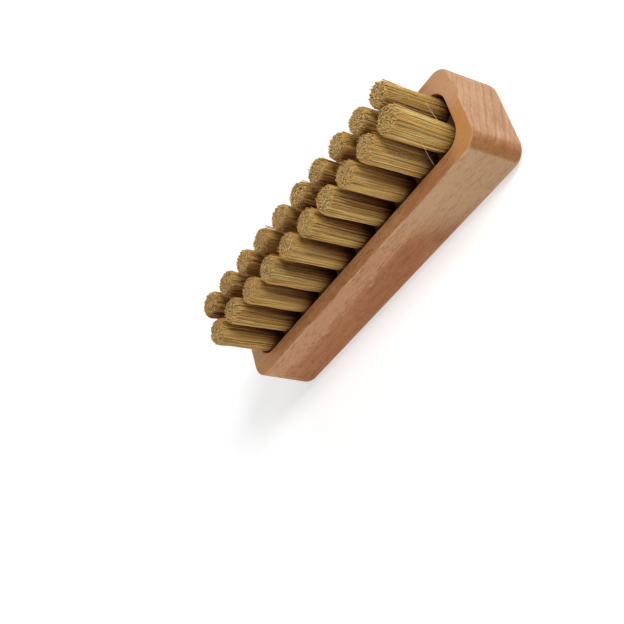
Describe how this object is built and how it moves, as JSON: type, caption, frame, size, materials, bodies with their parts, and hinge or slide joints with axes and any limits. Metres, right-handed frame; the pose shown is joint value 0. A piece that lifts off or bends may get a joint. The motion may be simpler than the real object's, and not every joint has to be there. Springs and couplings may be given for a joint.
{
  "type": "leather cleaning brush",
  "caption": "Small hand brush for cleaning leather: a rounded beech block whose recessed face holds rows of thick natural-fibre tufts cut flat.",
  "frame": {"origin": "middle of the flat back, on the surface that the brush lies on", "axes": "+X along the length, +Y across the width, +Z from the back out through the tufts"},
  "size_m": [0.1, 0.027, 0.0342],
  "materials": {
    "beech": "fine-sanded and lightly oiled, satin",
    "natural_fibre": "stiff golden plant or animal fibre, cut flat, matt with a faint sheen along the strands",
    "anchor_wire": "flat drawn wire"
  },
  "bodies": {
    "root": {"handle_block": "beech", "bristle_tuft_near_01": "natural_fibre", "bristle_tuft_near_02": "natural_fibre", "bristle_tuft_near_03": "natural_fibre", "bristle_tuft_near_04": "natural_fibre", "bristle_tuft_near_05": "natural_fibre", "bristle_tuft_near_06": "natural_fibre", "bristle_tuft_near_07": "natural_fibre", "bristle_tuft_near_08": "natural_fibre", "bristle_tuft_near_09": "natural_fibre", "bristle_tuft_near_10": "natural_fibre", "bristle_tuft_far_01": "natural_fibre", "bristle_tuft_far_02": "natural_fibre", "bristle_tuft_far_03": "natural_fibre", "bristle_tuft_far_04": "natural_fibre", "bristle_tuft_far_05": "natural_fibre", "bristle_tuft_far_06": "natural_fibre", "bristle_tuft_far_07": "natural_fibre", "bristle_tuft_far_08": "natural_fibre", "bristle_tuft_far_09": "natural_fibre", "bristle_tuft_far_10": "natural_fibre", "anchor_near_01": "anchor_wire", "anchor_near_02": "anchor_wire", "anchor_near_03": "anchor_wire", "anchor_near_04": "anchor_wire", "anchor_near_05": "anchor_wire", "anchor_near_06": "anchor_wire", "anchor_near_07": "anchor_wire", "anchor_near_08": "anchor_wire", "anchor_near_09": "anchor_wire", "anchor_near_10": "anchor_wire", "anchor_far_01": "anchor_wire", "anchor_far_02": "anchor_wire", "anchor_far_03": "anchor_wire", "anchor_far_04": "anchor_wire", "anchor_far_05": "anchor_wire", "anchor_far_06": "anchor_wire", "anchor_far_07": "anchor_wire", "anchor_far_08": "anchor_wire", "anchor_far_09": "anchor_wire", "anchor_far_10": "anchor_wire"}
  },
  "joints": []
}
